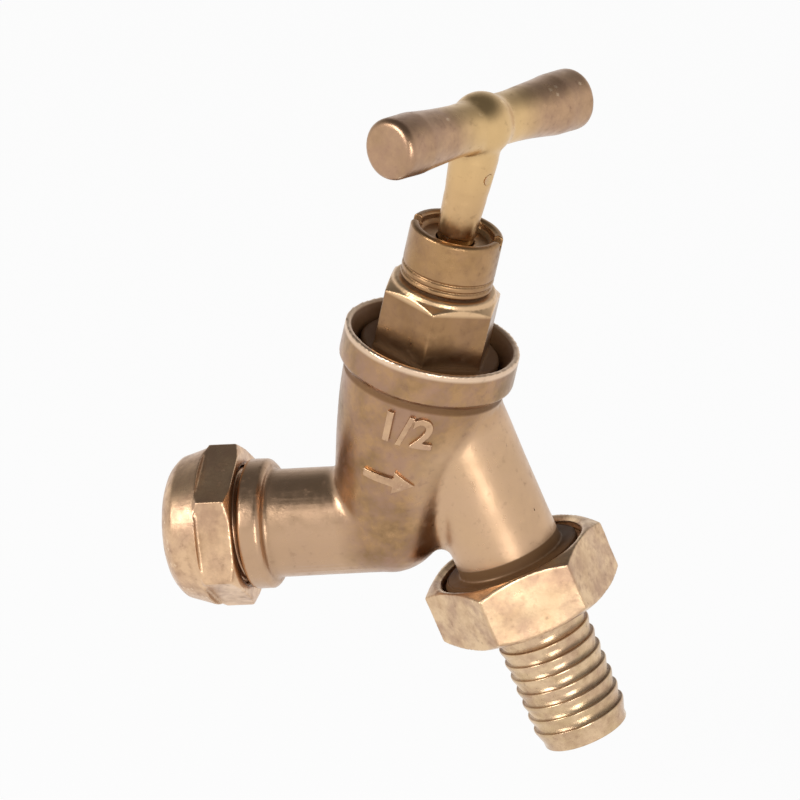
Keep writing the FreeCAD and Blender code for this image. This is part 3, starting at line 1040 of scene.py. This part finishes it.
@dataclass
class Outlet(Assembly):
    """The union nut and the barbed tail. Sizes in millimetres, levels along the spout from its root."""

    nut_skin: Skin = Skin(voxel=0.22, rounds=4, unevenness=0.08, swell=4.0)
    flange_back: float = 44.998
    flange_seat: float = 47.198
    flange_r: float = 12.2
    neck_r: float = 7.4
    bore_r: float = 5.6
    first_barb: float = 50.998
    crest_r: float = 8.5
    root_r: float = 7.75
    barb_pitch: float = 2.7
    barb_face: float = 0.02
    barb_land: float = 0.5
    barb_count: int = 8
    tail_end: float = 73.798
    edge: float = 0.35
    neck_edge: float = 0.525
    crest_round: float = 0.22

    def build(self) -> None:
        """Make the nut and the tail."""
        self.settle(self.nut_skin.over("union_nut"), "union", "union_brass", "union_nut")
        self.settle(self._tail(), "tail", "tail_brass", "hose_tail")

    def _barb_pattern(self) -> Pattern:
        """Plan the row of barbs.

        Returns:
            The tree that lines up copies of one barb.
        """
        tree = Pattern("barbs", {
            "Count": "NodeSocketInt", "Pitch": "NodeSocketFloat", "Start": "NodeSocketFloat"})
        step, first = (
            tree.node("ShaderNodeCombineXYZ", {2: tree.size(label)}) for label in ("Pitch", "Start"))
        row = tree.node("GeometryNodeMeshLine", {
            "Count": tree.size("Count"), "Start Location": first, "Offset": step},
            mode="OFFSET", count_mode="TOTAL")
        copies = {"Points": row, "Instance": tree.given.outputs["Shape"]}
        tree.close(tree.node("GeometryNodeInstanceOnPoints", copies))
        return tree

    def _tail(self) -> Piece:
        """Turn the tail: its flange, neck, barbs, end and bore.

        Returns:
            The closed tail in its place.
        """
        barb = lathe("barb", rounded([
            (self.root_r, 0.0, 0.0), (self.crest_r, self.barb_face, self.crest_round),
            (self.crest_r, self.barb_land, self.crest_round), (self.root_r, self.barb_pitch, 0.0)]))
        sizes = {"Count": self.barb_count, "Pitch": self.barb_pitch * MM, "Start": self.first_barb * MM,
                 "Finish": self.materials["tail_brass"]}
        barbs = self._barb_pattern().make("barbs", barb, sizes)
        last = self.first_barb + self.barb_pitch * self.barb_count
        rest = lathe("rest", rounded([
            (self.root_r, last, 0.0), (self.root_r, self.tail_end, self.edge),
            (self.bore_r, self.tail_end, self.edge), (self.bore_r, self.flange_back, self.edge),
            (self.flange_r, self.flange_back, self.edge), (self.flange_r, self.flange_seat, self.edge),
            (self.neck_r, self.flange_seat, self.neck_edge), (self.neck_r, self.first_barb, 0.0),
            (self.root_r, self.first_barb, 0.0)]))
        tail = joined("hose_tail_skin", [barbs, rest])
        tail.data.transform(self.spout.matrix)
        return tail


@dataclass
class Inlet(Assembly):
    """The nut round the pipe."""

    nut_skin: Skin = Skin(voxel=0.22, rounds=5, unevenness=0.05, swell=4.0)

    def build(self) -> None:
        """Make the nut with soft edges."""
        nut = self.nut_skin.over("compression_nut")
        self.settle(nut, "inlet_nut", "inlet_nut_brass", "compression_nut")


@dataclass(frozen=True)
class Lamp:
    """A rectangular soft lamp. Its place is metres from the tap's middle."""

    name: str
    place: tuple[float, float, float]
    size: Pair
    watts: float


@dataclass
class Studio:
    """Camera, lamps, world and floor. Angles are in degrees, distances in metres."""

    azimuth: float = 15.5
    elevation: float = 20.9
    roll: float = 8.5
    distance: float = 1.2
    image_px: float = 800.0
    px_per_mm: float = 5.75
    rim_px: Pair = (433.0, 336.0)
    sensor_mm: float = 36.0
    near_clip: float = 0.05
    floor_drop: float = 0.03
    floor_size: float = 8.0
    floor_glow: float = 0.95
    paper: Colour = (0.88, 0.88, 0.88)
    horizon: float = 0.95
    ceiling: float = 0.14
    horizon_top: float = 0.08
    ceiling_foot: float = 0.72
    lamps: tuple[Lamp, ...] = (
        Lamp("key_lamp", (-0.75, -0.75, 0.65), (0.5, 0.5), 7.0),
        Lamp("front_lamp", (0.55, -1.25, -0.02), (0.6, 0.8), 9.5),
    )

    def _directions(self) -> tuple[Vector, Vector, Vector]:
        """Work out how the camera is turned.

        Returns:
            Its right, up and back.
        """
        turn, rise, roll = (math.radians(a) for a in (self.azimuth, self.elevation, self.roll))
        back = Vector((math.sin(turn) * math.cos(rise), -math.cos(turn) * math.cos(rise), math.sin(rise)))
        level = Vector((math.cos(turn), math.sin(turn), 0.0))
        upright = back.cross(level)
        right = level * math.cos(roll) - upright * math.sin(roll)
        up = level * math.sin(roll) + upright * math.cos(roll)
        return right, up, back

    def _on_plane(self, pixel: Pair) -> Vector:
        """Find a pixel on the plane square to the view through the collar's rim.

        Args:
            pixel: a place in the photograph, from its top left corner.

        Returns:
            Its place on the plane.
        """
        right, up, _back = self._directions()
        step = MM / self.px_per_mm
        across, down = (pixel[k] - self.rim_px[k] for k in (0, 1))
        return axis_of("spindle_turn").origin + right * (across * step) - up * (down * step)

    def _eye(self) -> Vector:
        """Where the camera stands, so that the collar's rim falls on its pixel in the photograph."""
        half = self.image_px / 2.0
        return self._on_plane((half, half)) + self._directions()[2] * self.distance

    def sight(self, pixel: Pair) -> tuple[Vector, Vector]:
        """The start and the direction of the line of sight through a pixel of the photograph."""
        eye = self._eye()
        return eye, (self._on_plane(pixel) - eye).normalized()

    def _camera(self) -> None:
        """Place the camera."""
        right, up, back = self._directions()
        data = bpy.data.cameras.new("camera")
        data.sensor_width = self.sensor_mm
        data.lens = self.px_per_mm / MM * self.distance * self.sensor_mm / self.image_px
        data.clip_start = self.near_clip
        made = linked("camera", data)
        turn = Matrix((right, up, back)).transposed().to_4x4()
        made.matrix_world = Matrix.Translation(self._eye()) @ turn
        bpy.context.scene.camera = made

    @staticmethod
    def _hang(lamp: Lamp, aim: Vector) -> None:
        """Hang one lamp.

        Args:
            lamp: the lamp.
            aim: the point that it shines at.
        """
        data = bpy.data.lights.new(lamp.name, "AREA")
        data.shape = "RECTANGLE"
        data.size, data.size_y = lamp.size
        data.energy = lamp.watts
        made = linked(lamp.name, data)
        offset = Vector(lamp.place)
        turn = offset.to_track_quat("Z", "Y").to_matrix().to_4x4()
        made.matrix_world = Matrix.Translation(aim + offset) @ turn

    def _world(self) -> None:
        """A room that is white round the horizon and darker overhead."""
        made = bpy.data.worlds.new("studio_room")
        made.use_nodes = True
        bpy.context.scene.world = made
        shader = Shader(made.node_tree)
        direction = shader.node("ShaderNodeTexCoord").outputs["Generated"]
        height = shader.value("ShaderNodeSeparateXYZ", {0: direction}, "Z")
        level = height.ranged(self.horizon_top, self.ceiling_foot, self.horizon, self.ceiling)
        glow = shader.node("ShaderNodeBackground", {"Color": WHITE, "Strength": level})
        shader.node("ShaderNodeOutputWorld", {"Surface": glow})

    def _floor(self, lowest: float) -> Piece:
        """Lay the pale floor under the tap.

        Args:
            lowest: the height of the tap's lowest point.

        Returns:
            The floor's object.
        """
        half = self.floor_size / 2.0
        z = lowest - self.floor_drop
        corners = [(-half, -half, z), (half, -half, z), (half, half, z), (-half, half, z)]
        mesh = bpy.data.meshes.new("floor")
        mesh.from_pydata(corners, [], [(0, 1, 2, 3)])
        mesh.materials.append(self._floor_material())
        return linked("floor", mesh)

    def _floor_material(self) -> Material:
        """Pale paper that shows white to the camera and in the metal, and keeps the tap's shadow.

        Returns:
            The material.
        """
        made, shader = started("floor_paper")
        rays = shader.node("ShaderNodeLightPath")
        camera, glossy, through = (
            Value(shader, rays.outputs[f"Is {kind} Ray"]) for kind in ("Camera", "Glossy", "Transmission"))
        seen = (camera + glossy + through).clamped()
        paper = shader.node("ShaderNodeBsdfDiffuse", {"Color": (*self.paper, 1.0)})
        white = shader.node("ShaderNodeEmission", {"Color": WHITE, "Strength": 1.0})
        shader.end(shader.node("ShaderNodeMixShader", {0: seen * self.floor_glow, 1: paper, 2: white}))
        return made

    def build(self) -> None:
        """Set the whole studio up round the tap."""
        low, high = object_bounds()
        self._world()
        for lamp in self.lamps:
            self._hang(lamp, (Vector(low) + Vector(high)) / 2.0)
        self._floor(low[2])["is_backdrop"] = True
        self._camera()
        bpy.context.scene.view_settings.view_transform = "Standard"
        log.info("studio ready")


@dataclass
class Finishes:
    """Every finish on the tap, by the record's material slot."""

    head: Axis
    spout: Axis
    inlet: Axis
    made: dict[str, Material] = field(default_factory=dict)

    def _zones(self) -> dict[str, tuple[Zone, ...]]:
        """Where the casting, the bonnet and the handle are cleaner brass than the rest of them, where shade is
        painted into recesses and at the spout's end, and where a highlight is painted on the collar's rim.

        Returns:
            The zones by the finish's name.
        """
        head, spout, inlet = self.head, self.spout, self.inlet
        body = (
            Zone(spout, 14.0, 36.6, 0.0, 10.2, (0.68, 0.45, 0.275), amount=0.8, edge=5.0),
            # Painted shadow: a dark band on the spout just above its thread, where the union nut shades it.
            Zone(spout, 36.6, 38.2, 0.0, 10.6, (0.16, 0.08, 0.03), amount=0.85, edge=0.3, painted_shade=True),
            Zone(inlet, -24.0, -4.0, 0.0, 12.0, (0.58, 0.38, 0.24), amount=0.8, edge=5.0),
            # Painted highlight: a bright band all round the collar's rim.
            Zone(head, -0.9, 0.5, 14.1, 16.0, (0.90, 0.67, 0.48), amount=0.75),
            # Painted shade: the inside of the collar under its rim is darkened.
            Zone(head, -8.0, -0.4, 0.0, 14.3, (0.30, 0.15, 0.06), amount=0.7, painted_shade=True),
            # Painted shadow: a dark ring on the thread's start, in the gap just above the union nut.
            Zone(spout, 38.2, 39.4, 9.9, 14.0, (0.13, 0.062, 0.026), amount=0.95, edge=0.3, painted_shade=True))
        bonnet = (
            Zone(head, 8.8, 18.0, 0.0, 12.0, (0.80, 0.54, 0.31), amount=0.8, edge=0.6),
            # Painted shade: the bonnet's foot, down in the collar's recess, is darkened.
            Zone(head, -8.0, -1.6, 8.0, 14.0, (0.27, 0.14, 0.058), amount=0.85, painted_shade=True))
        handle = (
            Zone(head, 32.0, 60.0, 0.0, 7.0, (0.80, 0.545, 0.25), amount=0.75, edge=6.0),
            Zone(head, 0.0, 32.0, 0.0, 7.0, (0.68, 0.44, 0.21), amount=0.75, edge=6.0))
        return {"body_casting": body, "bonnet_brass": bonnet, "handle_casting": handle}

    def build(self) -> dict[str, Material]:
        """Make one material for each slot, and one for the raised marks.

        Returns:
            The materials by name.
        """
        zones = self._zones()
        warm, yellow, brown = (0.60, 0.385, 0.22), (0.66, 0.46, 0.22), (0.40, 0.245, 0.135)
        black, dust = (0.02, 0.02, 0.02), (0.04, 0.038, 0.035)
        on_head, on_spout, on_inlet = (
            {"surface": Surface.TURNED, "ring_axis": axis} for axis in (self.head, self.spout, self.inlet))
        finishes = [
            BrassFinish("body_casting", (0.46, 0.27, 0.13), (0.26, 0.155, 0.072), tarnish_share=0.85,
                        blush_share=0.75, patch=7.0, edge_shine=0.0, zones=zones["body_casting"]),
            BrassFinish("handle_casting", (0.52, 0.325, 0.19), (0.36, 0.22, 0.125),
                        zones=zones["handle_casting"]),
            BrassFinish("bonnet_brass", (0.36, 0.205, 0.095), (0.22, 0.12, 0.055), blush_share=0.2,
                        zones=zones["bonnet_brass"]),
            BrassFinish("mark_brass", (0.66, 0.43, 0.255), (0.50, 0.31, 0.17), edge_shine=0.3),
            BrassFinish("gland_brass", (0.43, 0.25, 0.112), (0.27, 0.15, 0.062), blush_share=0.2,
                        edge_shine=0.0, **on_head),
            BrassFinish("spindle_brass", yellow, warm, roughness=0.22, dense=False, **on_head),
            BrassFinish("turned_brass", yellow, warm, roughness=0.25, dense=False, **on_head),
            BrassFinish("union_brass", (0.78, 0.55, 0.33), (0.55, 0.35, 0.20), blush_share=0.6, patch=5.0),
            BrassFinish("tail_brass", (0.74, 0.53, 0.33), (0.52, 0.36, 0.19), roughness=0.22, patch=5.0,
                        **on_spout),
            BrassFinish("inlet_nut_brass", (0.78, 0.52, 0.315), (0.50, 0.31, 0.175), **on_inlet),
            BrassFinish("olive_copper", yellow, brown, dense=False, **on_inlet),
            PlainFinish("fibre_washer", (0.30, 0.06, 0.03), (0.18, 0.04, 0.02), roughness=0.7),
            PlainFinish("packing", (0.62, 0.55, 0.40), (0.35, 0.29, 0.2), roughness=0.8),
            PlainFinish("valve_rubber", black, dust, roughness=0.6),
            PlainFinish("union_rubber", black, dust, roughness=0.6),
        ]
        self.made = {finish.name: finish.material() for finish in finishes}
        return self.made

    def dress(self) -> None:
        """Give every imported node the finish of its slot."""
        slots = {part["node"]: part["material_slot"] for part in frame["record"]["subparts"]}
        for name, node in frame["nodes"].items():
            node.data.materials.clear()
            node.data.materials.append(self.made[slots[name]])
            log.info("dressed %s as %s", name, slots[name])


def main() -> None:
    """Build the scene in order: finishes, the tap's groups of pieces, studio."""
    logging.basicConfig(level=logging.INFO, format="%(message)s")
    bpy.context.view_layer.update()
    turning = {"head": "spindle_turn", "spout": "union_turn", "inlet": "inlet_nut_turn"}
    axes = {name: axis_of(joint) for name, joint in turning.items()}
    finishes = Finishes(**axes)
    materials = finishes.build()
    finishes.dress()
    studio = Studio()
    BodyCasting(materials, **axes).build(studio)
    Headwork(materials, **axes).build()
    Handle(materials, **axes).build()
    Outlet(materials, **axes).build()
    Inlet(materials, **axes).build()
    studio.build()


if __name__ == "__main__":
    main()
